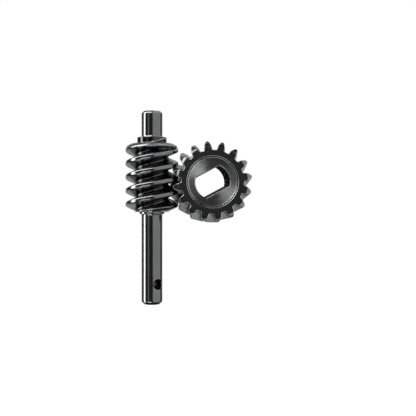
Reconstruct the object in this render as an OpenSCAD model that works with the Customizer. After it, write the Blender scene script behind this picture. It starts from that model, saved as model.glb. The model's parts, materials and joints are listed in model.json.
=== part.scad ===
// Worm gear set: a two-start worm turned in one piece with its shaft, and a
// sixteen-tooth helical wheel with a double-D bore, in mesh at right angles.
// Lengths are in millimetres. The origin is the centre of the wheel's bore.
// The wheel turns about Y with its front towards -Y. The worm turns about an
// axis parallel to Z, on the -X side of the wheel.

/* [Gear pair] */
// Axial module of the worm, equal to the transverse module of the wheel
gear_module = 0.62; // [0.60:0.01:0.63]
// Thread starts on the worm
starts = 2; // [1:1:2]
// Teeth on the wheel
teeth = 16; // [16:1:20]
// Pressure angle of thread and teeth, in degrees
pressure_angle = 20; // [18:0.5:22]
// Profile shift of the wheel, in modules
profile_shift = 0.5; // [0.3:0.05:0.5]
// Play between the thread and the teeth, measured along the pitch line
tooth_play = 0.09; // [0.06:0.01:0.14]
// Turn of the wheel that puts one tooth this far below the worm side, in degrees
wheel_turn = 2.8; // [0:0.1:11]

/* [Worm thread] */
// Outside diameter of the thread
worm_d = 7.58; // [7.4:0.02:7.8]
// Diameter at the bottom of the thread
worm_root_d = 4.64; // [4.5:0.02:4.8]
// Height of the thread's upper end above the wheel's axis
thread_top = 5.57; // [4.5:0.1:6]
// Height of the thread's lower end above the wheel's axis
thread_bottom = -4.31; // [-6:0.1:-3.5]
// Diameter to which both ends of the thread are turned down
shoulder_d = 4.7; // [4.7:0.1:6.5]
// Length of the turned shoulder at each end of the thread
shoulder_h = 0.95; // [0.4:0.05:1]
// Distance below the thread's upper end at which the grooves start to run out
run_out_start = 1.1; // [0.9:0.05:1.2]
// Distance below the thread's upper end at which the grooves are gone
run_out_end = 0.5; // [0.2:0.05:0.6]

/* [Worm shaft] */
// Diameter of both plain ends
shaft_d = 3; // [2.5:0.1:3.2]
// Height of the shaft's upper end above the wheel's axis
shaft_top = 10.16; // [8:0.1:12]
// Height of the shaft's lower end above the wheel's axis
shaft_bottom = -17.54; // [-20:0.1:-16.5]
// Chamfer on the upper end
top_chamfer = 0.3; // [0.1:0.05:0.5]
// Chamfer on the lower end
bottom_chamfer = 0.4; // [0.1:0.05:0.5]
// Diameter of the collar above the thread
upper_collar_d = 4.22; // [3.6:0.02:4.4]
// Height of the collar above the thread
upper_collar_h = 0.82; // [0.4:0.02:1.2]
// Diameter of the collar below the thread
lower_collar_d = 3.64; // [3.4:0.02:4.4]
// Height of the collar below the thread
lower_collar_h = 0.26; // [0.2:0.02:1]
// Radius of the fillet between a collar and the shaft
collar_fillet = 0.2; // [0.1:0.02:0.2]

/* [Cross hole] */
// Diameter of the hole through the lower shaft
cross_hole_d = 1.5; // [1:0.1:1.8]
// Height of the hole's axis above the wheel's axis
cross_hole_z = -14.61; // [-15.5:0.1:-10]
// Turn of the hole's axis from -Y towards +X, in degrees
cross_hole_turn = 31; // [0:1:90]

/* [Wheel] */
// Width across the two faces
wheel_w = 5.2; // [4:0.1:6]
// Height of the bevel on each end of a tooth, inwards from its tip
bevel_r = 0.9; // [0.4:0.1:1.1]
// Depth of the bevel at the tooth tips
bevel_h = 0.45; // [0.2:0.05:0.6]
// Diameter of the shallow recess turned into each face
recess_d = 7.5; // [7:0.05:8.5]
// Width of the ledge halfway down the recess
recess_ledge = 0.18; // [0.1:0.02:0.3]
// Depth of the recess
recess_h = 0.12; // [0.05:0.01:0.3]

/* [Double-D bore] */
// Diameter of the bore's round walls
bore_d = 5; // [4:0.1:5.2]
// Distance between the bore's two flats
bore_flats = 3.2; // [2.6:0.1:3.8]
// Turn of the flats from the horizontal, in degrees
bore_turn = 28; // [0:1:90]
// Chamfer around both mouths of the bore
bore_chamfer = 0.12; // [0.05:0.01:0.2]

/* [Pivot datum] */
// Diameter of the fixed pin on which the worm turns
pivot_d = 0.9; // [0.8:0.05:1]
// Length of the pin
pivot_l = 0.8; // [0.6:0.05:1]
// Clearance between the pin and its hole, all round and at the end
pivot_gap = 0.05; // [0.03:0.01:0.1]

/* [Hidden] */

// Depth of the tooth gaps below the unshifted pitch line, in modules.
root_depth = 1.25;

pitch = PI * gear_module;
lead = starts * pitch;
worm_r = worm_d / 2;
worm_root_r = worm_root_d / 2;
worm_pitch_r = worm_r - gear_module;

wheel_pitch_r = gear_module * teeth / 2;
wheel_r = wheel_pitch_r + (1 + profile_shift) * gear_module;
wheel_root_r = wheel_pitch_r + (profile_shift - root_depth) * gear_module;
wheel_base_r = wheel_pitch_r * cos(pressure_angle);
tooth_step = 360 / teeth;
centre_distance = worm_pitch_r + wheel_pitch_r + profile_shift * gear_module;

// The helix of the wheel follows the lead angle of the worm.
lead_angle = atan(lead / (2 * PI * worm_pitch_r));
twist_per_mm = deg(tan(lead_angle) / wheel_pitch_r);

// Height at which a thread crest faces the wheel: the middle of a tooth gap.
crest_z = wheel_pitch_r * rad(tooth_step / 2 - wheel_turn);

// The thread and the wheel are stacks of rings: this many per turn of the thread, along
// each shoulder, across the wheel's straight part and along each bevel.
rings_per_lead = 40;
shoulder_rings = 5;
wheel_rings = 4;
bevel_rings = 2;

// Sides of a full circle, steps of a fillet, and the overlap where solids join.
round_fn = 96;
fillet_steps = 6;
eps = 0.01;

function deg(radians) = radians * 180 / PI;
function rad(degrees) = degrees * PI / 180;
function polar(r, angle, z) = [r * cos(angle), r * sin(angle), z];
function involute(angle) = tan(angle) - rad(angle);

// Largest radius allowed at a distance from the nearer end of a blank with bevelled ends.
function blank_r(end_r, full_r, bevel, distance) =
    distance >= bevel ? full_r : end_r + (full_r - end_r) * sqrt(1 - pow(1 - distance / bevel, 2));

// Heights of the rings between two ends: end_rings along each bevel, and count steps between.
function ring_heights(low, high, bevel, end_rings, count) = concat(
    [for (i = [0 : end_rings - 1]) low + pow(i / end_rings, 2) * bevel],
    [for (i = [0 : count]) low + bevel + (high - low - 2 * bevel) * i / count],
    [for (i = [end_rings - 1 : -1 : 0]) high - pow(i / end_rings, 2) * bevel]
);

// Solid skin over a stack of rings that all have the same number of points. Each end is
// closed by a fan of triangles around a point on the axis.
module ring_stack(rings) {
    n = len(rings[0]);
    last = len(rings) - 1;
    low_centre = n * len(rings);
    high_centre = low_centre + 1;
    polyhedron(
        points = concat(
            [for (ring = rings) each ring],
            [[0, 0, rings[0][0][2]], [0, 0, rings[last][0][2]]]
        ),
        faces = concat(
            [for (i = [0 : n - 1]) [low_centre, i, (i + 1) % n]],
            [for (j = [0 : last - 1], i = [0 : n - 1])
                [j * n + i, (j + 1) * n + i, (j + 1) * n + (i + 1) % n]],
            [for (j = [0 : last - 1], i = [0 : n - 1])
                [j * n + i, (j + 1) * n + (i + 1) % n, j * n + (i + 1) % n]],
            [for (i = [0 : n - 1]) [high_centre, last * n + (i + 1) % n, last * n + i]]
        )
    );
}

// Thread section as [distance below the crest's middle, radius] over one pitch. Each flank
// has points at these shares of its depth. The first one rounds off the crest's edge.
flank_shares = [0.08, 0.3, 0.55, 0.8];
crest_round = 0.08;
crest_steps = 2;
root_steps = 3;
crest_half = pitch / 4 - gear_module * tan(pressure_angle);
flank_w = (worm_r - worm_root_r) * tan(pressure_angle);
root_w = pitch - 2 * crest_half - 2 * flank_w;
flank = [for (t = flank_shares) [crest_half + t * flank_w, worm_r - t * (worm_r - worm_root_r)]];
thread_section = concat(
    [for (i = [-crest_steps : crest_steps]) [i / crest_steps * (crest_half - crest_round / 2), worm_r]],
    flank,
    [for (i = [0 : root_steps]) [crest_half + flank_w + i / root_steps * root_w, worm_root_r]],
    [for (i = [len(flank) - 1 : -1 : 0]) [pitch - flank[i][0], flank[i][1]]]
);

// Smooth change from 0 to 1.
function ease(t) = t * t * (3 - 2 * t);

// Share of the grooves' depth that is cut at a height: none near the thread's upper end.
function groove_share(z) =
    ease(min(1, max(0, (thread_top - run_out_end - z) / (run_out_start - run_out_end))));

// Both starts of the thread at one height, as one ring of points.
function thread_ring(z) = [
    for (start = [0 : starts - 1], p = thread_section)
        let (
            limit = blank_r(shoulder_d / 2, worm_r, shoulder_h, min(z - thread_bottom, thread_top - z)),
            root = limit - (limit - worm_root_r) * groove_share(z)
        )
        polar(min(max(p[1], root), limit), 360 * (z - crest_z + p[0] + start * pitch) / lead, z)
];

module thread() {
    count = round((thread_top - thread_bottom - 2 * shoulder_h) * rings_per_lead / lead);
    heights = ring_heights(thread_bottom, thread_top, shoulder_h, shoulder_rings, count);
    ring_stack([for (z = heights) thread_ring(z)]);
}

// Outline of the fillet between a collar's face and the shaft, from the face on. It runs
// upwards where way is 1 and downwards where way is -1.
function fillet_points(z, way) = [
    for (i = [0 : fillet_steps])
        let (angle = 90 * i / fillet_steps)
        [shaft_d / 2 + collar_fillet * (1 - sin(angle)), z + way * collar_fillet * (1 - cos(angle))]
];

// The whole turned shaft, with both collars, as one outline spun about its axis.
module shaft() {
    upper_face = thread_top + upper_collar_h;
    lower_face = thread_bottom - lower_collar_h;
    bottom_run = [
        [0, shaft_bottom],
        [shaft_d / 2 - bottom_chamfer, shaft_bottom],
        [shaft_d / 2, shaft_bottom + bottom_chamfer]
    ];
    lower_fillet = [for (i = [fillet_steps : -1 : 0]) fillet_points(lower_face, -1)[i]];
    collars = [
        [lower_collar_d / 2, lower_face],
        [lower_collar_d / 2, thread_bottom + eps],
        [upper_collar_d / 2, thread_top - eps],
        [upper_collar_d / 2, upper_face]
    ];
    top_run = [
        [shaft_d / 2, shaft_top - top_chamfer],
        [shaft_d / 2 - top_chamfer, shaft_top],
        [0, shaft_top]
    ];
    rotate_extrude($fn = round_fn)
        polygon(concat(bottom_run, lower_fillet, collars, fillet_points(upper_face, 1), top_run));
}

// Radial hole through the lower shaft.
module cross_hole() {
    translate([0, 0, cross_hole_z])
        rotate([90, 0, cross_hole_turn])
            cylinder(d = cross_hole_d, h = 2 * shaft_d, center = true, $fn = round_fn);
}

// Blind hole in the lower end, which runs on the pivot datum.
module pivot_hole() {
    translate([0, 0, shaft_bottom - eps])
        cylinder(d = pivot_d + 2 * pivot_gap, h = pivot_l + pivot_gap + eps, $fn = round_fn);
}

module worm_shaft() {
    color([0.2, 0.2, 0.21])
        translate([-centre_distance, 0, 0])
            difference() {
                union() {
                    thread();
                    shaft();
                }
                cross_hole();
                pivot_hole();
            }
}

// Width of a tooth along the pitch circle.
tooth_w = pitch / 2 + 2 * profile_shift * gear_module * tan(pressure_angle) - tooth_play;

// Angle from a tooth's middle to its flank at a radius on the involute.
function flank_angle(r) =
    deg(tooth_w / (2 * wheel_pitch_r) + involute(pressure_angle) - involute(acos(wheel_base_r / r)));

// One side of a tooth as [angle from the tooth's middle, radius], from tip to root. Small
// bevels take off the edge of the tip and fill the corner at the root.
tip_round = 0.04;
root_round = 0.06;
flank_steps = 4;
flank_r = [for (i = [0 : flank_steps])
    wheel_base_r + (wheel_r - tip_round - wheel_base_r) * (1 - i / flank_steps)];
foot_angle = flank_angle(wheel_base_r);
root_round_angle = deg(root_round / wheel_base_r);
half_tooth = concat(
    [[flank_angle(wheel_r) / 2, wheel_r]],
    [for (r = flank_r) [flank_angle(r), r]],
    [
        [foot_angle + root_round_angle / 4, wheel_root_r + root_round],
        [foot_angle + root_round_angle, wheel_root_r]
    ]
);
tooth_outline = concat(
    [for (i = [len(half_tooth) - 1 : -1 : 0]) [-half_tooth[i][0], half_tooth[i][1]]],
    half_tooth,
    [[tooth_step / 2, wheel_root_r]]
);

// All the teeth at one height, as one ring of points.
function wheel_ring(z) = [
    for (tooth = [0 : teeth - 1], p = tooth_outline)
        let (limit = blank_r(wheel_r - bevel_r, wheel_r, bevel_h, wheel_w / 2 - abs(z)))
        polar(min(p[1], limit), 180 + wheel_turn + tooth * tooth_step + p[0] + z * twist_per_mm, z)
];

module toothed_blank() {
    heights = ring_heights(-wheel_w / 2, wheel_w / 2, bevel_h, bevel_rings, wheel_rings);
    ring_stack([for (z = heights) wheel_ring(z)]);
}

// Round bore with two flats, through the wheel.
module double_d() {
    intersection() {
        cylinder(d = bore_d, h = 2 * wheel_w, center = true, $fn = round_fn);
        cube([2 * bore_d, bore_flats, 3 * wheel_w], center = true);
    }
}

// Chamfer that opens the round walls and the flats of the bore at the upper face.
module bore_mouth() {
    translate([0, 0, wheel_w / 2 - recess_h - bore_chamfer])
        intersection() {
            cylinder(
                r1 = bore_d / 2,
                r2 = bore_d / 2 + 2 * bore_chamfer,
                h = 2 * bore_chamfer,
                $fn = round_fn
            );
            rotate([90, 0, 90])
                linear_extrude(2 * bore_d, center = true)
                    polygon([
                        [-bore_flats / 2, 0],
                        [bore_flats / 2, 0],
                        [bore_flats / 2 + 2 * bore_chamfer, 2 * bore_chamfer],
                        [-bore_flats / 2 - 2 * bore_chamfer, 2 * bore_chamfer]
                    ]);
        }
}

// Turned disc with a sloping edge, which takes the upper face down by a depth.
module turned_step(d, depth) {
    translate([0, 0, wheel_w / 2 - depth])
        cylinder(r1 = d / 2 - depth, r2 = d / 2 + depth, h = 2 * depth, $fn = round_fn);
}

// Shallow recess in the upper face, with a ledge halfway down its edge.
module face_recess() {
    turned_step(recess_d, recess_h / 2);
    turned_step(recess_d - 2 * recess_ledge, recess_h);
}

module worm_wheel() {
    color([0.2, 0.2, 0.21])
        rotate([90, 0, 0])
            difference() {
                toothed_blank();
                rotate([0, 0, bore_turn])
                    double_d();
                for (side = [0, 1]) mirror([0, 0, side]) {
                    rotate([0, 0, bore_turn])
                        bore_mouth();
                    face_recess();
                }
            }
}

// Fixed pin under the worm: it stands for the housing that holds both axes.
module pivot_datum() {
    color([0.6, 0.6, 0.62])
        translate([-centre_distance, 0, shaft_bottom])
            cylinder(d = pivot_d, h = pivot_l, $fn = round_fn);
}

worm_shaft();
worm_wheel();
pivot_datum();
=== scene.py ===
"""Worm gear set: a two-start worm and a sixteen-tooth wheel in mesh, in dark polished steel."""

import json
import math

import bmesh
import bpy
import numpy as np
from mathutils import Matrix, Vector


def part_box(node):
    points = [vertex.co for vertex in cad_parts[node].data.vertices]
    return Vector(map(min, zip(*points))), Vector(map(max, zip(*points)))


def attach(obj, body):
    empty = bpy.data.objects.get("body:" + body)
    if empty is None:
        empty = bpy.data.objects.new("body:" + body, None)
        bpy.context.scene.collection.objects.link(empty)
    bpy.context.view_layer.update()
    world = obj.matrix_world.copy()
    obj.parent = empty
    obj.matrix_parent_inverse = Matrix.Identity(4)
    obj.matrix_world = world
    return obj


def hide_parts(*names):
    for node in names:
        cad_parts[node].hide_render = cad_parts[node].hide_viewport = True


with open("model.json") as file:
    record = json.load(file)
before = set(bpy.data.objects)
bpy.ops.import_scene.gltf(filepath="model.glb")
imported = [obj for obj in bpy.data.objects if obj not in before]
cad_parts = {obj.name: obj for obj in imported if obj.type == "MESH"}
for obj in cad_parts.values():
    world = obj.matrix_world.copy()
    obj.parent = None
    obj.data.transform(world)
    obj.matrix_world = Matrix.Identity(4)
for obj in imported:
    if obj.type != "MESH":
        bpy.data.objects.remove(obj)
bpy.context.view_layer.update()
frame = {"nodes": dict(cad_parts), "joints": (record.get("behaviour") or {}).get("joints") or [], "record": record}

MM = 0.001
TINY = 1e-6
JOINTS = {joint["name"]: joint for joint in frame["joints"]}
WORM_AXIS = Vector(JOINTS["worm_spin"]["pos_m"])
WHEEL_AXIS = Vector(JOINTS["wheel_spin"]["pos_m"])
MOUNTS = {mount["name"]: mount for mount in frame["record"]["mounts"]}
WORM_LOW, WORM_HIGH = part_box("worm_shaft")
WHEEL_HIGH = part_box("worm_wheel")[1]

# ---- The gear pair: lengths in millimetres, angles in radians ----
MODULE = 0.62
STARTS = 2
TEETH = 16
PRESSURE = math.radians(20)
PROFILE_SHIFT = 0.5
TOOTH_PLAY = 0.09
PITCH = math.pi * MODULE
LEAD = STARTS * PITCH

WORM_R = 3.79
ROOT_R = 2.32
THREAD_TOP = 5.57
THREAD_BOTTOM = -4.31
SHOULDER_R = 2.35
SHOULDER_H = 0.95
SHAFT_R = MOUNTS["upper_journal"]["dims"]["r_mm"]
SHAFT_TOP = WORM_HIGH.z / MM
SHAFT_BOTTOM = WORM_LOW.z / MM
HOLE_R = MOUNTS["cross_hole"]["dims"]["r_mm"]
HOLE_Z = MOUNTS["cross_hole"]["pos_m"][2] / MM
HOLE_TURN = math.atan2(MOUNTS["cross_hole"]["axis"][1], MOUNTS["cross_hole"]["axis"][0])

WHEEL_PITCH_R = MODULE * TEETH / 2
WHEEL_BASE_R = WHEEL_PITCH_R * math.cos(PRESSURE)
WHEEL_ROOT_R = WHEEL_PITCH_R + (PROFILE_SHIFT - 1.25) * MODULE
WHEEL_R = WHEEL_PITCH_R + (1 + PROFILE_SHIFT) * MODULE
HALF_W = WHEEL_HIGH.y / MM
TWIST = LEAD / (2 * math.pi * (WORM_R - MODULE)) / WHEEL_PITCH_R
TOOTH_STEP = 2 * math.pi / TEETH
WHEEL_TURN = math.radians(2.8)
CREST_Z = WHEEL_PITCH_R * (TOOTH_STEP / 2 - WHEEL_TURN)


# ---- Paths and skins ----
SHARP_ANGLE = math.radians(38)


def smooth_min(a, b, width):
    """The smaller of a and b, with a rounded change from one to the other."""
    share = np.clip(0.5 + 0.5 * (b - a) / width, 0, 1)
    return b * (1 - share) + a * share - width * share * (1 - share)


def smooth_max(a, b, width):
    """The larger of a and b, with a rounded change from one to the other."""
    return -smooth_min(-a, -b, width)


def ease(t):
    """A smooth change from 0 to 1, held at both ends."""
    t = np.clip(t, 0, 1)
    return t * t * (3 - 2 * t)


def polar_points(angle, r, z):
    """A ring of points. The radius and the height may each be one number for the whole ring."""
    return list(zip(r * np.cos(angle), r * np.sin(angle), np.broadcast_to(z, np.shape(angle))))


def rounded_path(corners, segments=4, support=0.02):
    """Points along a path of (across, height, radius) corners.

    A corner with a radius becomes an arc, with a support point just before it and just after it.
    """
    points = []
    for i, (x, y, radius) in enumerate(corners):
        here = Vector((x, y))
        if radius == 0:
            points.append(here)
            continue
        back = (Vector(corners[i - 1][:2]) - here).normalized()
        on = (Vector(corners[i + 1][:2]) - here).normalized()
        half = back.angle(on) / 2
        cut = radius / math.tan(half)
        centre = here + (back + on).normalized() * radius / math.sin(half)
        start, end = here + back * cut, here + on * cut
        arm, last = (start - centre).normalized(), (end - centre).normalized()
        points.append(start + back * support)
        for k in range(segments + 1):
            points.append(centre + arm.slerp(last, k / segments) * radius)
        points.append(end + on * support)
    return points


class Shell:
    """A closed skin made of rings, with a value for each point that marks scuffed places and painted highlights,
    and a material slot for each face.
    """

    def __init__(self):
        self.points, self.scuffs_and_highlights = [], []
        self.faces, self.slots = [], []

    def add(self, points, scuffs_and_highlights=0.0):
        """Adds points and returns their indices. Their share of scuffing and painted highlight is one number for
        all or one for each.
        """
        first = len(self.points)
        self.points.extend(tuple(p) for p in points)
        count = len(self.points) - first
        self.scuffs_and_highlights.extend(np.broadcast_to(scuffs_and_highlights, count).tolist())
        return list(range(first, len(self.points)))

    def face(self, corners, slot):
        self.faces.append(corners)
        self.slots.append(slot)

    def skin(self, low, high, slot, skip=()):
        """Faces between two rings of equal length, without the columns to skip."""
        count = len(low)
        for i in range(count):
            j = (i + 1) % count
            if i not in skip:
                self.face((low[i], low[j], high[j], high[i]), slot)

    def fan(self, ring, centre, slot):
        """Faces from a ring to one point in its middle."""
        count = len(ring)
        for i in range(count):
            self.face((ring[i], ring[(i + 1) % count], centre), slot)

    def stitch(self, one, other, slot):
        """Faces between two rings about one axis whose points don't stand at the same angles."""

        def turns(ring):
            angle = [math.atan2(self.points[k][1], self.points[k][0]) for k in ring]
            return np.unwrap(angle + angle[:1])

        a = turns(one)
        away = [abs(math.remainder(turns([k])[0] - a[0], 2 * math.pi)) for k in other]
        nearest = away.index(min(away))
        other = other[nearest:] + other[:nearest]
        b = turns(other)
        b += a[0] - b[0] + math.remainder(b[0] - a[0], 2 * math.pi)
        i = j = 0
        while i < len(one) or j < len(other):
            here, there = one[i % len(one)], other[j % len(other)]
            if j == len(other) or (i < len(one) and a[i + 1] <= b[j + 1]):
                i += 1
                self.face((here, one[i % len(one)], there), slot)
            else:
                j += 1
                self.face((here, other[j % len(other)], there), slot)

    def build(self, name, materials, place):
        """The mesh object, in metres, with its local points put in place by the given function."""
        mesh = bpy.data.meshes.new(name)
        mesh.from_pydata([place(p) for p in self.points], [], self.faces)
        for material in materials:
            mesh.materials.append(material)
        mesh.polygons.foreach_set("material_index", self.slots)
        mesh.attributes.new("scuffs_and_highlights", "FLOAT", "POINT").data.foreach_set("value", self.scuffs_and_highlights)
        work = bmesh.new()
        work.from_mesh(mesh)
        # The shaft's grid has points over the mouths of the cross hole, which no face uses.
        loose = [v for v in work.verts if not v.link_faces]
        bmesh.ops.delete(work, geom=loose, context="VERTS")
        bmesh.ops.recalc_face_normals(work, faces=work.faces)
        work.to_mesh(mesh)
        work.free()
        mesh.shade_smooth()
        mesh.set_sharp_from_angle(angle=SHARP_ANGLE)
        piece = bpy.data.objects.new(name, mesh)
        bpy.context.scene.collection.objects.link(piece)
        return piece


# ---- The worm: its turned rings ----
SHAFT, THREAD, HOLE = 0, 1, 2
COLUMNS = 128
COLUMN_STEP = 2 * math.pi / COLUMNS
FINE = 0.06
END_ROUND = 0.22
TOP_CHAMFER, BOTTOM_CHAMFER = 0.3, 0.4
CENTRE_HOLE_R, CENTRE_HOLE_H = 0.5, 0.85
UPPER_COLLAR_R, UPPER_COLLAR_H = 2.11, 0.82
LOWER_COLLAR_R, LOWER_COLLAR_H = 1.82, 0.26
COLLAR_FILLET = 0.2
# The upper collar's height in steps, and how many at each end belong to its rounded edges.
COLLAR_STEPS, COLLAR_END_STEPS = 27, 3
COLLAR_RIDGE_W, COLLAR_RIDGE_H = 0.18, 0.12
RIDGE_FADE = 0.2
FLAT_START = 0.1
# Above the cross hole, where the plain rings start again.
HOLE_CLEAR = 2


def circle(r, z):
    """A plain ring. Its first point faces the way that the cross hole does."""
    turns = [HOLE_TURN + i * COLUMN_STEP for i in range(COLUMNS)]
    return [(r * math.cos(turn), r * math.sin(turn), z) for turn in turns]


def plain_ring(r, z):
    """A ring, with no scuffed place and no painted highlight."""
    return circle(r, z), 0.0


def collar_ring(r, z):
    """A ring and its share of scuffing and painted highlight. The thread's crests run out over the upper collar as
    thin ridges, which carry a painted highlight across the collar's painted shade.
    """
    if r < UPPER_COLLAR_R - TINY:
        return plain_ring(r, z)
    points = np.array(circle(r, z))
    along = CREST_Z + LEAD * np.arctan2(points[:, 1], points[:, 0]) / (2 * math.pi) - z
    away = np.abs(np.remainder(along + PITCH / 2, PITCH) - PITCH / 2)
    fade = ease((THREAD_TOP + UPPER_COLLAR_H - FINE - z) / RIDGE_FADE)
    ridge = ease(1 - away / COLLAR_RIDGE_W) * fade
    points[:, :2] *= 1 + COLLAR_RIDGE_H * ridge[:, None] / r
    return points, ridge


def lathe(shell, path, slot, before=None, shape=plain_ring):
    """Rings along a path of (radius, height) points, each made by the given shape. Returns the last ring."""
    for r, z in path:
        ring = shell.add(*shape(r, z))
        if before:
            shell.skin(before, ring, slot)
        before = ring
    return before


def lower_end_path():
    """From the bottom of the centre hole, around the lower end face and up to the cross hole."""
    floor = SHAFT_BOTTOM + CENTRE_HOLE_H
    corners = [
        (FINE, floor, 0),
        (CENTRE_HOLE_R, floor, FINE),
        (CENTRE_HOLE_R, SHAFT_BOTTOM, FINE),
        (SHAFT_R - BOTTOM_CHAMFER, SHAFT_BOTTOM, END_ROUND),
        (SHAFT_R, SHAFT_BOTTOM + BOTTOM_CHAMFER, END_ROUND),
        (SHAFT_R, HOLE_Z, 0),
    ]
    return rounded_path(corners)[:-1]


def lower_shaft_path():
    """From above the cross hole, over the lower collar and out to the thread."""
    collar_face = THREAD_BOTTOM - LOWER_COLLAR_H
    corners = [
        (SHAFT_R, HOLE_Z + HOLE_CLEAR, 0),
        (SHAFT_R, collar_face, COLLAR_FILLET),
        (LOWER_COLLAR_R, collar_face, FINE),
        (LOWER_COLLAR_R, THREAD_BOTTOM, FINE),
        (ROOT_R - FLAT_START, THREAD_BOTTOM, 0),
    ]
    return rounded_path(corners)


def upper_end_path():
    """From the thread in to the upper collar, up it in steps for the ridges, and over the upper end face."""
    collar_face = THREAD_TOP + UPPER_COLLAR_H
    steps = range(COLLAR_END_STEPS, COLLAR_STEPS - COLLAR_END_STEPS + 1)
    heights = [THREAD_TOP + UPPER_COLLAR_H * k / COLLAR_STEPS for k in steps]
    corners = [
        (ROOT_R - FLAT_START, THREAD_TOP, 0),
        (UPPER_COLLAR_R, THREAD_TOP, FINE),
        *((UPPER_COLLAR_R, z, 0) for z in heights),
        (UPPER_COLLAR_R, collar_face, FINE),
        (SHAFT_R, collar_face, COLLAR_FILLET),
        (SHAFT_R, SHAFT_TOP - TOP_CHAMFER, END_ROUND),
        (SHAFT_R - TOP_CHAMFER, SHAFT_TOP, END_ROUND),
        (FINE, SHAFT_TOP, 0),
    ]
    return rounded_path(corners)


# ---- The worm: its thread ----
CREST_ROUND = 0.37
ROOT_ROUND = 0.5
RIDGE_W, RIDGE_H = 0.12, 0.07
RUN_OUT_START, RUN_OUT_END = 1.1, 0.5
BEND_GAP = 0.005
RING_STEP = 0.022
SHOULDER_STEPS = 18
END_INSET = 0.985


def flank_offset(r):
    """Distance along the axis from the middle of a crest to its flank, at one radius."""
    return PITCH / 4 - MODULE * math.tan(PRESSURE) + (WORM_R - r) * math.tan(PRESSURE)


def thread_offsets(limit):
    """Distances from a crest's middle to a groove's middle, closest together where the section bends."""
    crest, root = flank_offset(limit), flank_offset(ROOT_R)
    middle = (crest + root) / 2
    edge = CREST_ROUND * math.tan(PRESSURE) + 2 * BEND_GAP
    foot = ROOT_ROUND * math.tan(PRESSURE) + 2 * BEND_GAP
    # Each stretch is (where it starts, how many steps it has).
    stretches = [
        (0, 2),
        (max(crest - edge, 4 * BEND_GAP), 11),
        (min(crest + edge, middle - BEND_GAP), 5),
        (max(root - foot, middle + BEND_GAP), 8),
        (min(root + foot, PITCH / 2 - RIDGE_W - 2 * BEND_GAP), 1),
        (PITCH / 2 - RIDGE_W, 4),
        (PITCH / 2, 0),
    ]
    offsets = []
    for (start, steps), (end, _) in zip(stretches, stretches[1:]):
        offsets += [start + (end - start) * k / steps for k in range(steps)]
    return np.array(offsets + [PITCH / 2])


def there_and_back(values):
    """Values from a crest to a groove, and back to the last one before the next crest."""
    return np.concatenate([values, values[-2:0:-1]])


def thread_ring(z, limit):
    """Points around both starts at one height, none past the limit's radius, and their share of the third colour.

    The grooves run out near the thread's upper end, and a thin ridge follows the bottom of each. The ridges take
    the third colour, which keeps them clear of the painted groove shade.
    """
    half = thread_offsets(limit)
    flank = WORM_R - (half - flank_offset(WORM_R)) / math.tan(PRESSURE)
    groove = ease((THREAD_TOP - RUN_OUT_END - z) / (RUN_OUT_START - RUN_OUT_END))
    root = limit - (limit - ROOT_R) * groove
    cut = smooth_min(np.full_like(half, limit), flank, CREST_ROUND)
    ridge = ease(1 - (PITCH / 2 - half) / RIDGE_W) * groove
    radius = there_and_back(np.minimum(smooth_max(cut, root, ROOT_ROUND) + RIDGE_H * ridge, limit))
    offset = np.concatenate([half, PITCH - half[-2:0:-1]])
    points = []
    for start in range(STARTS):
        angle = 2 * math.pi * (z - CREST_Z + offset + start * PITCH) / LEAD
        points += polar_points(angle, radius, z)
    return points, np.tile(there_and_back(ridge), STARTS)


def inset_ring(z, limit):
    """A ring on the thread's end face, just inside the edge of the thread."""
    return [(x * END_INSET, y * END_INSET, z) for x, y, z in thread_ring(z, limit)[0]]


def thread_heights():
    """(height, largest radius) of every ring of the thread, with a round shoulder at both ends."""
    rows = []
    for k in range(SHOULDER_STEPS):
        turn = math.pi / 2 * k / SHOULDER_STEPS
        rise = SHOULDER_H * (1 - math.cos(turn))
        limit = SHOULDER_R + (WORM_R - SHOULDER_R) * math.sin(turn)
        rows.append((THREAD_BOTTOM + rise, limit))
    upper = [(THREAD_TOP + THREAD_BOTTOM - z, limit) for z, limit in reversed(rows)]
    low, high = THREAD_BOTTOM + SHOULDER_H, THREAD_TOP - SHOULDER_H
    count = round((high - low) / RING_STEP)
    return rows + [(low + (high - low) * k / count, WORM_R) for k in range(count + 1)] + upper


def threaded_part(shell, ring):
    """The thread and its two end faces, joined to the ring below. Returns its last ring."""
    rows = thread_heights()
    before = shell.add(inset_ring(*rows[0]))
    shell.stitch(ring, before, THREAD)
    for z, limit in rows:
        row = shell.add(*thread_ring(z, limit))
        shell.skin(before, row, THREAD)
        before = row
    last = shell.add(inset_ring(*rows[-1]))
    shell.skin(before, last, THREAD)
    return last


# ---- The worm: its cross hole ----
# The shaft's grid is square there. A patch of it around each mouth is left out, and loops fill the patch
# from its border to the rim of the hole.
CELL = SHAFT_R * COLUMN_STEP
PATCH = 18
PATCH_LOOPS = 5
PATCH_CROWDING = 0.8
HOLE_EDGE = 0.05
# How far down the rounded rim its two loops are, as shares of the rim's radius.
HOLE_EDGE_SINKS = (0.4, 1.0)
HOLE_ROWS = 4


def patch_border(side):
    """(column, row) places around the border of a patch, counted from the middle of the mouth."""
    steps = range(-PATCH, PATCH)
    border = [(k, -PATCH) for k in steps] + [(PATCH, k) for k in steps]
    border += [(-k, PATCH) for k in steps] + [(-PATCH, -k) for k in steps]
    return [(side * column, row) for column, row in border]


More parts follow.
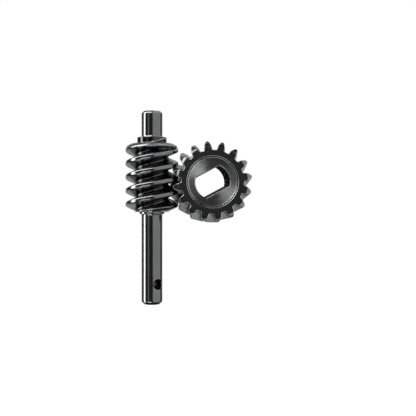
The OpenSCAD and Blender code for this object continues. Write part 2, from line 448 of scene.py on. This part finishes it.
def hole_mouth(shell, side, grid):
    """Loops from a patch's border over the hole's rounded rim. Returns the last loop, in the hole's wall."""
    border = patch_border(side)
    first_column = 0 if side > 0 else COLUMNS // 2
    middle = HOLE_TURN + first_column * COLUMN_STEP
    flat = CELL * np.array(border)
    around = np.arctan2(flat[:, 1], side * flat[:, 0])
    wide = HOLE_R + HOLE_EDGE
    rim = np.stack([side * SHAFT_R * np.arcsin(wide * np.cos(around) / SHAFT_R), wide * np.sin(around)], 1)
    loops = [[grid[row + PATCH][(column + first_column) % COLUMNS] for column, row in border]]
    for k in range(1, PATCH_LOOPS + 1):
        place = flat + (rim - flat) * (k / PATCH_LOOPS) ** PATCH_CROWDING
        loop = polar_points(middle + place[:, 0] / SHAFT_R, SHAFT_R, HOLE_Z + place[:, 1])
        loops.append(shell.add(loop, float(k == PATCH_LOOPS)))
    along = np.array([math.cos(HOLE_TURN), math.sin(HOLE_TURN), 0]) * side
    across = np.array([-math.sin(HOLE_TURN), math.cos(HOLE_TURN), 0])
    for sink in HOLE_EDGE_SINKS:
        reach = HOLE_R + HOLE_EDGE * (1 - sink) ** 2
        depth = np.sqrt(SHAFT_R**2 - (wide * np.cos(around)) ** 2) - HOLE_EDGE * sink
        points = np.outer(depth, along) + np.outer(reach * np.cos(around), across)
        points[:, 2] = HOLE_Z + reach * np.sin(around)
        loops.append(shell.add(points, 1.0 - sink))
    for k, (outer, inner) in enumerate(zip(loops, loops[1:])):
        shell.skin(outer, inner, SHAFT if k < PATCH_LOOPS else HOLE)
    return loops[-1]


def drilled_part(shell, ring):
    """The part of the shaft with the cross hole, joined to the ring below. Returns its last ring."""
    grid = [shell.add(circle(SHAFT_R, HOLE_Z + CELL * k)) for k in range(-PATCH, PATCH + 1)]
    shell.skin(ring, grid[0], SHAFT)
    left_out = {(k + turn) % COLUMNS for k in range(-PATCH, PATCH) for turn in (0, COLUMNS // 2)}
    for low, high in zip(grid, grid[1:]):
        shell.skin(low, high, SHAFT, left_out)
    wall, far_mouth = [hole_mouth(shell, side, grid) for side in (1, -1)]
    near_points = [Vector(shell.points[k]) for k in wall]
    far_points = [Vector(shell.points[k]) for k in far_mouth]
    for k in range(1, HOLE_ROWS):
        row = shell.add(near.lerp(far, k / HOLE_ROWS) for near, far in zip(near_points, far_points))
        shell.skin(wall, row, HOLE)
        wall = row
    shell.skin(wall, far_mouth, HOLE)
    return grid[-1]


def worm_shell():
    """The whole worm, from the bottom of its centre hole to its upper end."""
    shell = Shell()
    ring = lathe(shell, lower_end_path(), SHAFT)
    first_ring = list(range(COLUMNS))
    shell.fan(first_ring, shell.add([(0, 0, SHAFT_BOTTOM + CENTRE_HOLE_H)])[0], SHAFT)
    ring = drilled_part(shell, ring)
    ring = lathe(shell, lower_shaft_path(), SHAFT, ring)
    thread_end = threaded_part(shell, ring)
    start, *path = upper_end_path()
    ring = shell.add(circle(*start))
    shell.stitch(thread_end, ring, THREAD)
    ring = lathe(shell, path, SHAFT, ring, collar_ring)
    shell.fan(ring, shell.add([(0, 0, SHAFT_TOP)])[0], SHAFT)
    return shell


# ---- The wheel: its toothed outline ----
TIP_R = 0.29
TIP_TURN = math.radians(74)
TIP_STEPS = 7
TIP_TRIM = 0.05
TIP_FULLNESS = 0.035
FLANK_STEPS = 9
FILLET_STEPS = 4
FILLET_WIDE = 0.2
ROOT_FILL = 0.075


def involute(angle):
    return math.tan(angle) - angle


def flank_angle(r):
    """Angle from a tooth's middle to its flank."""
    width = PITCH / 2 + 2 * PROFILE_SHIFT * MODULE * math.tan(PRESSURE) - TOOTH_PLAY
    angle = width / (2 * WHEEL_PITCH_R) + involute(PRESSURE) - involute(math.acos(WHEEL_BASE_R / r))
    return angle + TIP_FULLNESS / r * ease((r - WHEEL_PITCH_R) / (WHEEL_R - TIP_R - WHEEL_PITCH_R))


def half_tooth():
    """(angle, radius) points from the middle of a tooth's tip to the middle of the gap beside it."""
    centre = WHEEL_R - TIP_TRIM - TIP_R
    points = []
    for k in range(TIP_STEPS):
        turn = TIP_TURN * k / TIP_STEPS
        x, y = centre + TIP_R * math.cos(turn), TIP_R * math.sin(turn)
        points.append((math.atan2(y, x), math.hypot(x, y)))
    top = centre + TIP_R * math.cos(TIP_TURN)
    for k in range(FLANK_STEPS):
        r = top + (WHEEL_BASE_R - top) * k / (FLANK_STEPS - 1) + TINY
        points.append((flank_angle(r), r))
    root = WHEEL_ROOT_R + ROOT_FILL
    depth = WHEEL_BASE_R - root
    foot = flank_angle(WHEEL_BASE_R + TINY)
    for k in range(1, FILLET_STEPS + 1):
        turn = math.pi / 2 * k / FILLET_STEPS
        angle = foot + FILLET_WIDE * (1 - math.cos(turn)) / root
        points.append((angle, WHEEL_BASE_R - depth * math.sin(turn)))
    return points + [(TOOTH_STEP / 2, root)]


def wheel_outline():
    """Angles and radii around the whole wheel at mid-width."""
    half = half_tooth()
    tooth = [(-angle, r) for angle, r in reversed(half[1:-1])] + half
    first = math.pi + WHEEL_TURN
    around = [(first + k * TOOTH_STEP + angle, r) for k in range(TEETH) for angle, r in tooth]
    return np.array(around).T


# ---- The wheel: its ends and its bore ----
# A row is (angles, radii, heights, share of scuffing and painted highlight, slot), with its heights above the
# wheel's middle plane.
TEETH_SLOT, FACE, TURNED, BORE = 0, 1, 2, 3
BEVEL_R, BEVEL_H = 0.9, 0.45
BEVEL_CURVE = 1.6
EDGE = 0.08
EDGE_STEPS = 3
WEB_R = 4.36
FACE_ROWS = 9
FACE_CROWDING = 1.4
RECESS_START = 0.1
RECESS_R, RECESS_STEP_R, FLOOR_R = 3.76, 3.52, 3.3
RECESS_H = 0.12
RECESS_EDGE, RECESS_FOOT = 0.05, 0.04
# The painted highlight lines on the recess's steps reach this far inward and outward from each step's radius.
STEP_HIGHLIGHT_IN, STEP_HIGHLIGHT_OUT = 0.6 * RECESS_H, 0.01
BORE_R = 2.5
HALF_FLATS = 1.6
BORE_TURN = math.radians(28)
BORE_CHAMFER = 0.12
BORE_EDGE = 0.02
# How far the bore's path reaches over the recess's floor and down the wall, and its points on the chamfer, which
# carry a painted highlight.
BORE_OUTSIDE, BORE_INSIDE = 0.4, 0.8
CHAMFER_POINTS = range(2, 7)
SKIN_ROWS = 10


def face_height(r):
    """Height of the teeth's curved bevel above the wheel's middle plane."""
    out = np.clip((r - (WHEEL_R - BEVEL_R)) / BEVEL_R, 0, 1)
    return HALF_W - BEVEL_H * out**BEVEL_CURVE


def edge_rows(side, angle, radius):
    """Rows over the rounded edge between the teeth's flanks and their end, given the light third colour as scuffed
    steel and as a painted highlight.
    """
    top = face_height(radius)
    turned = angle + side * TWIST * top
    x, y = radius * np.cos(turned), radius * np.sin(turned)
    tangent = np.array([np.roll(x, -1) - np.roll(x, 1), np.roll(y, -1) - np.roll(y, 1)])
    inward = np.array([-tangent[1], tangent[0]]) / np.hypot(*tangent)
    rows = [(angle + side * TWIST * (top - EDGE), radius, top - EDGE, 0.0, TEETH_SLOT)]
    for k in range(1, EDGE_STEPS + 1):
        turn = math.pi / 2 * k / EDGE_STEPS
        inset = EDGE * (1 - math.cos(turn))
        inner_x, inner_y = x + inward[0] * inset, y + inward[1] * inset
        around, out = np.arctan2(inner_y, inner_x), np.hypot(inner_x, inner_y)
        # Scuffed steel and painted highlight along the rounded edge.
        rows.append((around, out, face_height(out) - EDGE * (1 - math.sin(turn)), 1.0, TEETH_SLOT))
    return rows


def face_rows(around, out):
    """Rows from the edge in to the flat ring that carries the teeth, closest together at the edge."""
    rows = []
    for k in range(1, FACE_ROWS + 1):
        r = out + (WEB_R - out) * (k / FACE_ROWS) ** FACE_CROWDING
        rows.append((around, r, face_height(r), 0.0, FACE))
    return rows


def recess_rows(angle):
    """Rows across the flat ring and down the recess's two steps, whose edges carry painted highlight lines."""
    ledge = HALF_W - RECESS_H / 2
    floor = HALF_W - RECESS_H
    corners = [
        (WEB_R - RECESS_START, HALF_W, 0),
        (RECESS_R, HALF_W, RECESS_EDGE),
        (RECESS_R - RECESS_H / 2, ledge, RECESS_FOOT),
        (RECESS_STEP_R, ledge, RECESS_FOOT),
        (RECESS_STEP_R - RECESS_H / 2, floor, RECESS_EDGE),
        (FLOOR_R, floor, 0),
    ]
    rows = []
    for r, z in rounded_path(corners, segments=3, support=0.015):
        # Painted highlight: thin light lines around the step edges.
        scuff_and_highlight_share = any(step - STEP_HIGHLIGHT_IN < r < step + STEP_HIGHLIGHT_OUT for step in (RECESS_R, RECESS_STEP_R))
        rows.append((angle, r, z, float(scuff_and_highlight_share), FACE if r > RECESS_STEP_R else TURNED))
    return rows


def double_d(angle, grow):
    """Angles and radii of the bore's outline, with a point on each of its four corners."""
    corner = math.asin((HALF_FLATS + grow) / (BORE_R + grow))
    snapped = angle.copy()
    for turn in (corner, math.pi - corner, -corner, math.pi + corner):
        away = np.abs(np.remainder(angle - BORE_TURN - turn + math.pi, 2 * math.pi) - math.pi)
        nearest = int(away.argmin())
        snapped[nearest] = angle[nearest] - math.remainder(angle[nearest] - BORE_TURN - turn, 2 * math.pi)
    across = np.abs(np.sin(snapped - BORE_TURN))
    return snapped, np.minimum(BORE_R + grow, (HALF_FLATS + grow) / np.maximum(across, TINY))


def bore_rows(angle):
    """Rows from the recess's floor over the bore's chamfer, which carries a painted highlight line, and a little
    way down its wall.
    """
    floor = HALF_W - RECESS_H
    corners = [
        (BORE_OUTSIDE, floor, 0),
        (BORE_CHAMFER, floor, BORE_EDGE),
        (0, floor - BORE_CHAMFER, BORE_EDGE),
        (0, floor - BORE_INSIDE, 0),
    ]
    rows = []
    for k, (grow, z) in enumerate(rounded_path(corners, segments=2)):
        slot = TURNED if k < CHAMFER_POINTS.stop else BORE
        # The chamfer's points carry the painted highlight.
        rows.append((*double_d(angle, grow), z, float(k in CHAMFER_POINTS), slot))
    return rows


def wheel_end(shell, side, angle, radius):
    """One end of the wheel, from the teeth's edge in to the bore. Returns its first and last ring."""
    edge = edge_rows(side, angle, radius)
    around, out = edge[-1][:2]
    rows = edge + face_rows(around, out) + recess_rows(angle) + bore_rows(angle)
    rings = [shell.add(polar_points(turns, r, side * z), scuffs_and_highlights) for turns, r, z, scuffs_and_highlights, _ in rows]
    for before, ring, row in zip(rings, rings[1:], rows[1:]):
        shell.skin(before, ring, row[-1])
    return rings[0], rings[-1]


def wheel_shell():
    """The whole wheel: its two ends, the teeth between them and the bore."""
    shell = Shell()
    angle, radius = wheel_outline()
    front, front_bore = wheel_end(shell, 1, angle, radius)
    back, back_bore = wheel_end(shell, -1, angle, radius)
    reach = face_height(radius) - EDGE
    before = back
    for k in range(1, SKIN_ROWS):
        z = reach * (2 * k / SKIN_ROWS - 1)
        row = shell.add(polar_points(angle + TWIST * z, radius, z))
        shell.skin(before, row, TEETH_SLOT)
        before = row
    shell.skin(before, front, TEETH_SLOT)
    shell.skin(front_bore, back_bore, BORE)
    return shell


# ---- Materials ----
# How close the tool's marks stand, and how fast they change along their own length.
MARK_SCALES = {"turned": (14.0, 0.4), "faced": (16.0, 0.35), "thread": (9.0, 0.8), "drawn": (12.0, 0.5)}
THREAD_RISE = 0.3
# In turns: highlights stretch across the marks.
ACROSS_MARKS = 0.25
MARK_DETAIL, MARK_ROUGHNESS = 4.0, 0.7
CLOUD_SCALE = 0.35
SPECK_SCALE, SPECK_DETAIL = 7.0, 2.0
COLD = -0.02
# Two levels of noise, and what they are mapped to. Each steel gives its own two levels of gloss.
SCUFF_AND_HIGHLIGHT_SPREAD = (0.3, 0.65, 0.45, 1.0)
TINT_SPREAD = (0.55, 1.05, 0.0, 1.0)
GLOSS_SPREAD = (0.55, 1.15)
MARKS_IN_TINT, MARKS_IN_GLOSS = 0.6, 0.7


class Nodes:
    """A material's node tree, with short calls for the nodes used here."""

    def __init__(self, name):
        self.material = bpy.data.materials.new(name)
        self.material.use_nodes = True
        self.tree = self.material.node_tree
        self.shader = self.tree.nodes["Principled BSDF"]

    def new(self, kind, inputs=None, **settings):
        node = self.tree.nodes.new(kind)
        for key, value in settings.items():
            setattr(node, key, value)
        for key, value in (inputs or {}).items():
            self.put(node.inputs[key], value)
        return node

    def put(self, socket, value):
        """Links a socket to another, or sets its constant."""
        if isinstance(value, bpy.types.NodeSocket):
            self.tree.links.new(value, socket)
        else:
            socket.default_value = value

    def math(self, operation, *values):
        return self.new("ShaderNodeMath", dict(enumerate(values)), operation=operation).outputs[0]

    def scaled_sum(self, value, scale, other):
        """value * scale + other"""
        return self.math("ADD", self.math("MULTIPLY", value, scale), other)

    def spread(self, value, low, high, to_low, to_high):
        """Maps a value from one range to another, held at its ends."""
        inputs = {"Value": value, "From Min": low, "From Max": high, "To Min": to_low, "To Max": to_high}
        return self.new("ShaderNodeMapRange", inputs).outputs["Result"]

    def noise(self, place, scale, detail=3.0, roughness=0.55):
        inputs = {"Vector": place, "Scale": scale, "Detail": detail, "Roughness": roughness}
        return self.new("ShaderNodeTexNoise", inputs).outputs["Fac"]

    def blend(self, share, one, other):
        """The colour one where the share is 0, and the other where it is 1."""
        node = self.new("ShaderNodeMix", data_type="RGBA")
        colours = [socket for socket in node.inputs if socket.type == "RGBA"]
        factor = next(socket for socket in node.inputs if socket.type == "VALUE" and socket.enabled)
        self.put(factor, share)
        for socket, value in zip(colours, (one, other)):
            self.put(socket, value)
        return next(socket for socket in node.outputs if socket.type == "RGBA")


def grey(level, warmth=0.0):
    """An opaque grey, made a little redder by warmth or bluer by its opposite."""
    return (level * (1 + warmth), level, level * (1 - warmth), 1.0)


def around_axis(nodes, axis, centre):
    """Sockets for a point's place, distance from the axis, height along it and angle about it.

    They are measured from the centre, in millimetres and radians.
    """
    place = nodes.new("ShaderNodeTexCoord").outputs["Object"]
    away = {0: place, 1: tuple(-c for c in centre)}
    shifted = nodes.new("ShaderNodeVectorMath", away, operation="ADD").outputs[0]
    large = nodes.new("ShaderNodeVectorMath", {0: shifted, "Scale": 1 / MM}, operation="SCALE").outputs[0]
    parts = nodes.new("ShaderNodeSeparateXYZ", {0: large}).outputs
    x, y, z = (parts["X"], parts["Y"], parts["Z"]) if axis == "Z" else (parts["X"], parts["Z"], parts["Y"])
    radius = nodes.math("SQRT", nodes.math("ADD", nodes.math("MULTIPLY", x, x), nodes.math("MULTIPLY", y, y)))
    return large, radius, z, nodes.math("ARCTAN2", y, x)


def tool_marks(nodes, kind, radius, height, turn):
    """Noise drawn out into lines.

    The lines go around the axis: one above another if turned, one inside another if faced, and both at once
    on the thread. Drawn lines go along the axis.
    """
    across, along = height, turn
    if kind == "faced":
        across = radius
    elif kind == "thread":
        across = nodes.scaled_sum(height, THREAD_RISE, radius)
    elif kind == "drawn":
        across, along = nodes.math("MULTIPLY", turn, radius), height
    close, slow = MARK_SCALES[kind]
    x, y = nodes.math("MULTIPLY", across, close), nodes.math("MULTIPLY", along, slow)
    line = nodes.new("ShaderNodeCombineXYZ", {"X": x, "Y": y, "Z": radius}).outputs[0]
    return nodes.noise(line, 1.0, MARK_DETAIL, MARK_ROUGHNESS)


def steel(name, axis, centre, colour, gloss, marks, rub, anisotropy=0.0, rim=1.0, shade=None, ends=None):
    """Dark steel with fine tool marks.

    colour is (dark, light, scuffed and highlighted), and gloss is the roughness of (smooth, rough, scuffed and
    highlighted) places.
    marks is (kind, depth in millimetres), and rub is how deep specks are, as a share of the marks.
    anisotropy stretches highlights across circles about the axis. rim is the brightness at grazing angles.
    shade is painted shade, as (full radius, free radius, level): the steel has that level at the first radius and
    past it, and its own colour at the second. ends is painted shade by the distance from the middle plane, as
    (free distance, full distance, level). Scuffed and highlighted places keep their colour in both.
    """
    nodes = Nodes(name)
    inputs = nodes.shader.inputs
    place, radius, height, turn = around_axis(nodes, axis, centre)
    kind, depth = marks
    fine = tool_marks(nodes, kind, radius, height, turn)
    cloud = nodes.noise(place, CLOUD_SCALE)
    specks = nodes.noise(place, SPECK_SCALE, SPECK_DETAIL)
    scuffs_and_highlights = nodes.new("ShaderNodeAttribute", attribute_name="scuffs_and_highlights").outputs["Fac"]
    scuff_and_highlight_share = nodes.math("MULTIPLY", scuffs_and_highlights, nodes.spread(specks, *SCUFF_AND_HIGHLIGHT_SPREAD))
    tint = nodes.spread(nodes.scaled_sum(fine, MARKS_IN_TINT, cloud), *TINT_SPREAD)
    coat = nodes.blend(tint, grey(colour[0]), grey(colour[1], COLD))
    # Painted shade by the distance from the axis.
    if shade:
        coat = nodes.blend(nodes.spread(radius, shade[0], shade[1], 1.0, 0.0), coat, grey(shade[2]))
    # Painted shade by the distance from the middle plane.
    if ends:
        distance = nodes.math("ABSOLUTE", height)
        coat = nodes.blend(nodes.spread(distance, ends[0], ends[1], 0.0, 1.0), coat, grey(ends[2]))
    # Scuffed places and painted highlights take the third colour over the painted shade.
    nodes.put(inputs["Base Color"], nodes.blend(scuff_and_highlight_share, coat, grey(colour[2])))
    rough = nodes.spread(nodes.scaled_sum(fine, MARKS_IN_GLOSS, specks), *GLOSS_SPREAD, gloss[0], gloss[1])
    nodes.put(inputs["Roughness"], nodes.scaled_sum(scuff_and_highlight_share, gloss[2] - gloss[0], rough))
    inputs["Metallic"].default_value = 1.0
    inputs["Anisotropic"].default_value = anisotropy
    if anisotropy:
        tangent = nodes.new("ShaderNodeTangent", direction_type="RADIAL", axis=axis).outputs[0]
        nodes.put(inputs["Tangent"], tangent)
        inputs["Anisotropic Rotation"].default_value = ACROSS_MARKS
    inputs["Specular Tint"].default_value = grey(rim)
    relief = {"Height": nodes.scaled_sum(specks, rub, fine), "Distance": depth * MM, "Strength": 1.0}
    nodes.put(inputs["Normal"], nodes.new("ShaderNodeBump", relief).outputs["Normal"])
    return nodes.material


def worm_materials():
    """For the slots SHAFT, THREAD and HOLE."""
    # Painted shade: the upper collar is darkened so that its reflections of the lights come out dim.
    polished = steel(
        "worm_polished", "Z", WORM_AXIS, (0.26, 0.32, 0.55), (0.09, 0.14, 0.2), ("turned", 0.00006), rub=0.1,
        shade=(UPPER_COLLAR_R - 0.02, LOWER_COLLAR_R + 0.08, 0.1),
    )
    # Painted shade: the thread's grooves darken to nearly black towards their bottom, where the crests shade them.
    thread = steel(
        "worm_thread", "Z", WORM_AXIS, (0.27, 0.34, 0.34), (0.13, 0.2, 0.3), ("thread", 0.0001), rub=0.2,
        shade=(ROOT_R + 0.12, ROOT_R + 0.43, 0.006),
    )
    # Painted shade: the cross hole's wall is nearly black, with dim grazing reflections, standing in for the shade
    # inside the hole.
    drilled = steel(
        "worm_drilled", "Z", WORM_AXIS, (0.05, 0.08, 0.16), (0.3, 0.45, 0.3), ("turned", 0.001), rub=0.6,
        rim=0.2,
    )
    return [polished, thread, drilled]


def wheel_materials():
    """For the slots TEETH_SLOT, FACE, TURNED and BORE."""
    # Painted shade: the teeth darken towards both ends, leaving a lighter band along the middle of each flank.
    teeth = steel(
        "wheel_teeth", "Y", WHEEL_AXIS, (0.3, 0.42, 0.7), (0.16, 0.27, 0.2), ("drawn", 0.002), rub=0.5,
        rim=0.45, ends=(1.2, HALF_W, 0.05),
    )
    face = steel(
        "wheel_face", "Y", WHEEL_AXIS, (0.15, 0.21, 0.6), (0.15, 0.22, 0.2), ("faced", 0.0008), rub=0.4,
    )
    turned = steel(
        "wheel_turned", "Y", WHEEL_AXIS, (0.27, 0.35, 0.65), (0.26, 0.32, 0.2), ("faced", 0.0012), rub=0.2,
        anisotropy=0.9,
    )
    # Painted shade: the bore's wall is nearly black, with dim grazing reflections, standing in for the shade
    # inside the bore.
    bore = steel(
        "wheel_bore", "Y", WHEEL_AXIS, (0.03, 0.06, 0.5), (0.35, 0.5, 0.3), ("drawn", 0.0003), rub=0.2,
        rim=0.1,
    )
    return [teeth, face, turned, bore]


def datum_material():
    colour, gloss = (0.45, 0.52, 0.6), (0.2, 0.3, 0.3)
    return steel("datum_ground", "Z", WORM_AXIS, colour, gloss, ("turned", 0.001), rub=0.3)


# ---- Stage ----
CAMERA_TURN = math.radians(-9)
CAMERA_DISTANCE = 0.13
CAMERA_CLIP = (0.005, 10)
FRAME_WIDTH = 0.0603
SENSOR = 36.0
AIM = Vector((-0.0003, 0, -0.00373))
WORLD_LEVEL = 0.035
PANEL_DISTANCE = 0.6
CEILING_SIZE, CEILING_LEVEL = 0.7, 0.4
FLOOR_SIZE = 1.5
FLOOR_DROP = 0.00005
FLOOR_GREYS = (0.55, 0.58)
FLOOR_CLOUDS = 60.0
DOME_R = 1.4

# Soft boxes as (name, azimuths, elevations, level), in degrees as they are seen from the lit piece.
WORM_PANELS = [
    ("worm_strip", (-96, -76), (-45, 45), 4.5),
    ("worm_high", (-100, -66), (45, 80), 3.5),
    ("worm_side", (11, 112), (-45, 72), 0.5),
    ("worm_side_high", (106, 165), (18, 75), 0.5),
    ("worm_front", (-44, -26), (-14, 14), 0.22),
    ("worm_top", (-50, 2), (24, 54), 4.0),
    ("worm_low", (-50, 2), (-54, -26), 3.5),
    ("worm_far_top", (-112, -52), (20, 60), 2.4),
    ("worm_back", (140, 225), (-45, 40), 0.45),
]
WHEEL_PANELS = [
    ("wheel_fan", (-24, 6), (8, 36), 4.6),
    ("wheel_left", (-75, -48), (-5, 50), 0.8),
    ("wheel_right", (42, 110), (-45, 35), 1.1),
    ("wheel_front", (0, 30), (-25, 25), 0.04),
    ("wheel_dim", (-75, -20), (-45, -8), 0.3),
    ("wheel_low", (-60, 60), (-85, -50), 0.6),
    ("wheel_back", (122, 238), (-50, 50), 0.75),
]


def heading(azimuth, elevation=0.0):
    """Unit vector from the object, in degrees to the right of the camera's place and above the horizon."""
    turn = CAMERA_TURN + math.radians(azimuth)
    rise = math.radians(elevation)
    return Vector((math.sin(turn) * math.cos(rise), -math.cos(turn) * math.cos(rise), math.sin(rise)))


def camera():
    data = bpy.data.cameras.new("camera")
    data.sensor_width = SENSOR
    data.lens = SENSOR * CAMERA_DISTANCE / FRAME_WIDTH
    data.clip_start, data.clip_end = CAMERA_CLIP
    eye = bpy.data.objects.new("camera", data)
    eye.location = AIM + heading(0) * CAMERA_DISTANCE
    eye.rotation_euler = (-heading(0)).to_track_quat("-Z", "Y").to_euler()
    bpy.context.scene.collection.objects.link(eye)
    bpy.context.scene.camera = eye


def soft_box(name, centre, way, width, height, level, lit=()):
    """A flat area light that faces the centre, for the lit pieces or for everything.

    level is its brightness, where 1 shows as white in a perfect mirror.
    """
    data = bpy.data.lights.new(name, "AREA")
    data.shape = "RECTANGLE"
    data.size, data.size_y = width, height
    data.energy = level * math.pi * width * height
    lamp = bpy.data.objects.new(name, data)
    lamp.location = centre + way * PANEL_DISTANCE
    lamp.rotation_euler = (-way).to_track_quat("-Z", "Y").to_euler()
    lamp.visible_camera = False
    bpy.context.scene.collection.objects.link(lamp)
    if lit:
        group = bpy.data.collections.new(name)
        for piece in lit:
            group.objects.link(piece)
        lamp.light_linking.receiver_collection = group


def panels(rows, centre, piece):
    """The soft boxes of one piece."""
    for name, azimuths, elevations, level in rows:
        across = math.radians(azimuths[1] - azimuths[0])
        up = math.radians(elevations[1] - elevations[0])
        way = heading(sum(azimuths) / 2, sum(elevations) / 2)
        width = 2 * PANEL_DISTANCE * math.tan(across / 2) * math.hypot(way.x, way.y)
        height = 2 * PANEL_DISTANCE * math.tan(up / 2)
        soft_box(name, centre, way, width, height, level, [piece])


def stage_object(name, mesh, material):
    mesh.materials.append(material)
    thing = bpy.data.objects.new(name, mesh)
    bpy.context.scene.collection.objects.link(thing)
    return thing


def pale_dome():
    """A white backdrop on every side, which only the camera sees."""
    material = bpy.data.materials.new("backdrop")
    material.use_nodes = True
    tree = material.node_tree
    tree.nodes.clear()
    light = tree.nodes.new("ShaderNodeEmission")
    light.inputs["Color"].default_value = (1, 1, 1, 1)
    light.inputs["Strength"].default_value = 1.0
    out = tree.nodes.new("ShaderNodeOutputMaterial")
    tree.links.new(light.outputs[0], out.inputs["Surface"])
    work = bmesh.new()
    bmesh.ops.create_icosphere(work, subdivisions=4, radius=DOME_R)
    mesh = bpy.data.meshes.new("backdrop")
    work.to_mesh(mesh)
    work.free()
    dome = stage_object("backdrop", mesh, material)
    dome.visible_glossy = dome.visible_diffuse = dome.visible_shadow = False


def pale_floor():
    """A white floor just below the worm, which the steel doesn't mirror."""
    nodes = Nodes("floor")
    inputs = nodes.shader.inputs
    place = nodes.new("ShaderNodeTexCoord").outputs["Object"]
    nodes.put(inputs["Base Color"], nodes.blend(nodes.noise(place, FLOOR_CLOUDS), *map(grey, FLOOR_GREYS)))
    inputs["Roughness"].default_value = 0.9
    inputs["Emission Color"].default_value = (1, 1, 1, 1)
    inputs["Emission Strength"].default_value = 1.0
    z = WORM_LOW.z - FLOOR_DROP
    corners = [(x * FLOOR_SIZE, y * FLOOR_SIZE, z) for x, y in ((-1, -1), (1, -1), (1, 1), (-1, 1))]
    mesh = bpy.data.meshes.new("floor")
    mesh.from_pydata(corners, [], [(0, 1, 2, 3)])
    floor = stage_object("floor", mesh, nodes.material)
    floor.visible_glossy = floor.visible_shadow = False


def stage(worm, wheel):
    """The pale surroundings, the lights and the camera."""
    world = bpy.data.worlds.new("world")
    bpy.context.scene.world = world
    world.use_nodes = True
    world.node_tree.nodes["Background"].inputs["Color"].default_value = (1, 1, 1, 1)
    world.node_tree.nodes["Background"].inputs["Strength"].default_value = WORLD_LEVEL
    bpy.context.scene.view_settings.view_transform = "Standard"
    pale_dome()
    pale_floor()
    panels(WORM_PANELS, WORM_AXIS, worm)
    panels(WHEEL_PANELS, WHEEL_AXIS, wheel)
    soft_box("above", Vector(), Vector((0, 0, 1)), CEILING_SIZE, CEILING_SIZE, CEILING_LEVEL)
    camera()


# ---- The assembly ----
def local_to_worm(point):
    """From millimetres about the worm's axis to metres in the frame."""
    return Vector(point) * MM + Vector((WORM_AXIS.x, WORM_AXIS.y, 0))


def local_to_wheel(point):
    """From millimetres about the wheel's axis, with the front end up, to metres in the frame."""
    return Vector((point[0], -point[2], point[1])) * MM + WHEEL_AXIS


worm = worm_shell().build("worm", worm_materials(), local_to_worm)
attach(worm, "worm")
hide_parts("worm_shaft")

wheel = wheel_shell().build("wheel", wheel_materials(), local_to_wheel)
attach(wheel, "wheel")
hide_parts("worm_wheel")

datum = frame["nodes"]["pivot_datum"]
datum.data.materials.clear()
datum.data.materials.append(datum_material())

stage(worm, wheel)
